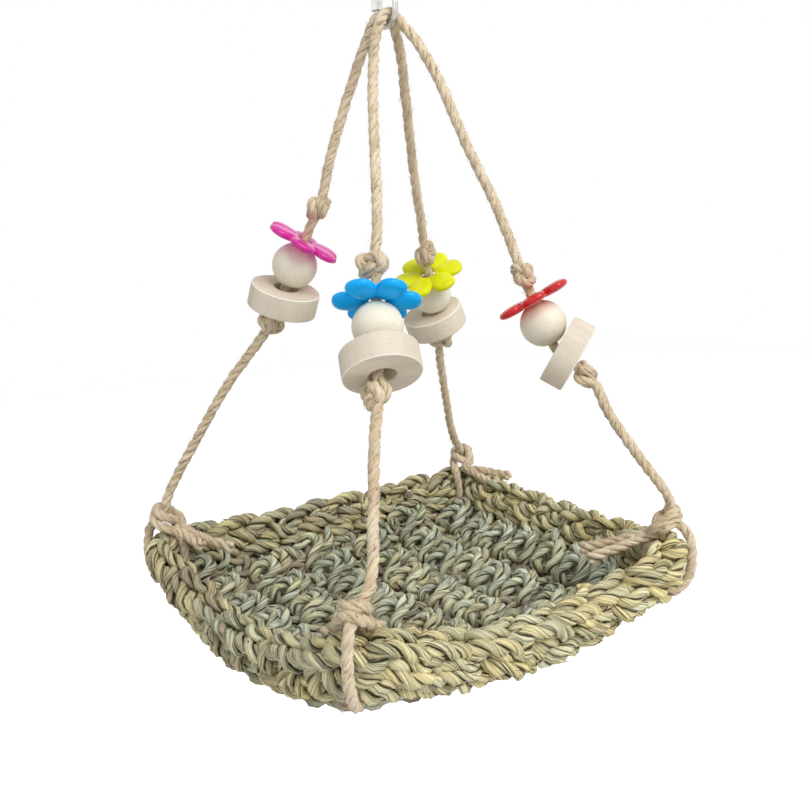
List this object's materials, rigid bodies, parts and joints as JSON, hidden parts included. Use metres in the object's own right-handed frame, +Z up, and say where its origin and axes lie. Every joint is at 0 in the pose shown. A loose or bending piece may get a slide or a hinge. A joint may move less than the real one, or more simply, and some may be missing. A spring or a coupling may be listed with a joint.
{
  "type": "bird hammock",
  "caption": "Square crocheted seagrass bird hammock hung by its corners from two folded jute ropes with flower, ball and disc beads on each leg, on a small quick link.",
  "frame": {"origin": "inside top of the quick link, where it hangs on a cage bar or hook", "axes": "+Z up, X left to right along the front edge of the mat, -Y towards the front edge"},
  "size_m": [0.1984, 0.1804, 0.2929],
  "materials": {
    "steel": "nickel plated steel wire",
    "jute": "twisted jute rope",
    "seagrass": "crocheted two-ply seagrass cord",
    "straw": "crocheted two-ply seagrass cord, straw coloured",
    "ball_wood": "turned pale wood, unvarnished",
    "disc_wood": "sawn greyish wood, unvarnished",
    "petal_blue": "glossy moulded plastic",
    "petal_red": "glossy translucent moulded plastic",
    "petal_yellow": "glossy moulded plastic",
    "petal_pink": "glossy translucent moulded plastic"
  },
  "bodies": {
    "quick_link": {"link_body": "steel"},
    "sleeve": {"sleeve_nut": "steel"},
    "hammock": {"rope_front_top": "jute", "rope_back_top": "jute", "rope_run_front_left": "jute", "rope_run_front_right": "jute", "rope_run_back_right": "jute", "rope_run_back_left": "jute", "rope_leg_front_left": "jute", "rope_leg_front_right": "jute", "rope_leg_back_right": "jute", "rope_leg_back_left": "jute", "upper_knot_front_left": "jute", "upper_knot_front_right": "jute", "upper_knot_back_right": "jute", "upper_knot_back_left": "jute", "lower_knot_front_left": "jute", "lower_knot_front_right": "jute", "lower_knot_back_right": "jute", "lower_knot_back_left": "jute", "rim_loop_front_left": "jute", "rim_loop_front_right": "jute", "rim_loop_back_right": "jute", "rim_loop_back_left": "jute", "rim_knot_front_left": "jute", "rim_knot_front_right": "jute", "rim_knot_back_right": "jute", "rim_knot_back_left": "jute", "rope_ends_front_left": "jute", "rope_ends_front_right": "jute", "rope_ends_back_right": "jute", "rope_ends_back_left": "jute", "mat_floor": "seagrass", "rim_row_upper": "straw", "rim_row_middle": "seagrass", "rim_row_lower": "seagrass"},
    "ball_front_left": {"ball_front_left": "ball_wood"},
    "flower_front_left": {"flower_front_left": "petal_blue"},
    "disc_front_left": {"disc_front_left": "disc_wood"},
    "ball_front_right": {"ball_front_right": "ball_wood"},
    "flower_front_right": {"flower_front_right": "petal_red"},
    "disc_front_right": {"disc_front_right": "disc_wood"},
    "ball_back_right": {"ball_back_right": "ball_wood"},
    "flower_back_right": {"flower_back_right": "petal_yellow"},
    "disc_back_right": {"disc_back_right": "disc_wood"},
    "ball_back_left": {"ball_back_left": "ball_wood"},
    "flower_back_left": {"flower_back_left": "petal_pink"},
    "disc_back_left": {"disc_back_left": "disc_wood"}
  },
  "joints": [
    {"name": "sleeve_slide", "type": "slide", "parent": "quick_link", "child": "sleeve", "axis": [0, 0, 1], "range_m": [0, 0.0064]},
    {"name": "hammock_swing", "type": "hinge", "parent": "quick_link", "child": "hammock", "pos_m": [0, 0, -0.02825], "axis": [0, 1, 0], "range_deg": [-40, 40]},
    {"name": "ball_slide_front_left", "type": "slide", "parent": "hammock", "child": "ball_front_left", "axis": [0.2724, 0.4014, 0.8745], "range_m": [0, 0.007]},
    {"name": "flower_spin_front_left", "type": "hinge", "parent": "ball_front_left", "child": "flower_front_left", "pos_m": [-0.03604, -0.03895, -0.13921], "axis": [0.3037, 0.4165, 0.8569], "continuous": true},
    {"name": "disc_spin_front_left", "type": "hinge", "parent": "hammock", "child": "disc_front_left", "pos_m": [-0.04269, -0.05015, -0.16199], "axis": [0.2153, 0.5579, 0.8015], "continuous": true},
    {"name": "ball_slide_front_right", "type": "slide", "parent": "hammock", "child": "ball_front_right", "axis": [-0.257, 0.257, 0.9316], "range_m": [0, 0.0025]},
    {"name": "flower_spin_front_right", "type": "hinge", "parent": "ball_front_right", "child": "flower_front_right", "pos_m": [0.04117, -0.04217, -0.14392], "axis": [-0.323, 0.3477, 0.8802], "continuous": true},
    {"name": "disc_spin_front_right", "type": "hinge", "parent": "hammock", "child": "disc_front_right", "pos_m": [0.05134, -0.05234, -0.16767], "axis": [-0.5864, 0.6358, 0.5019], "continuous": true},
    {"name": "ball_slide_back_right", "type": "slide", "parent": "hammock", "child": "ball_back_right", "axis": [-0.3502, -0.3327, 0.8756], "range_m": [0, 0.0015]},
    {"name": "flower_spin_back_right", "type": "hinge", "parent": "ball_back_right", "child": "flower_back_right", "pos_m": [0.04278, 0.03762, -0.13396], "axis": [-0.4627, -0.3194, 0.827], "continuous": true},
    {"name": "disc_spin_back_right", "type": "hinge", "parent": "hammock", "child": "disc_back_right", "pos_m": [0.05245, 0.04695, -0.15765], "axis": [-0.4405, -0.0983, 0.8924], "continuous": true},
    {"name": "ball_slide_back_left", "type": "slide", "parent": "hammock", "child": "ball_back_left", "axis": [0.3345, -0.2889, 0.897], "range_m": [0, 0.0071]},
    {"name": "flower_spin_back_left", "type": "hinge", "parent": "ball_back_left", "child": "flower_back_left", "pos_m": [-0.03101, 0.02733, -0.11568], "axis": [0.3922, -0.3617, 0.8458], "continuous": true},
    {"name": "disc_spin_back_left", "type": "hinge", "parent": "hammock", "child": "disc_back_left", "pos_m": [-0.03906, 0.03497, -0.1401], "axis": [0.1109, -0.364, 0.9248], "continuous": true}
  ]
}
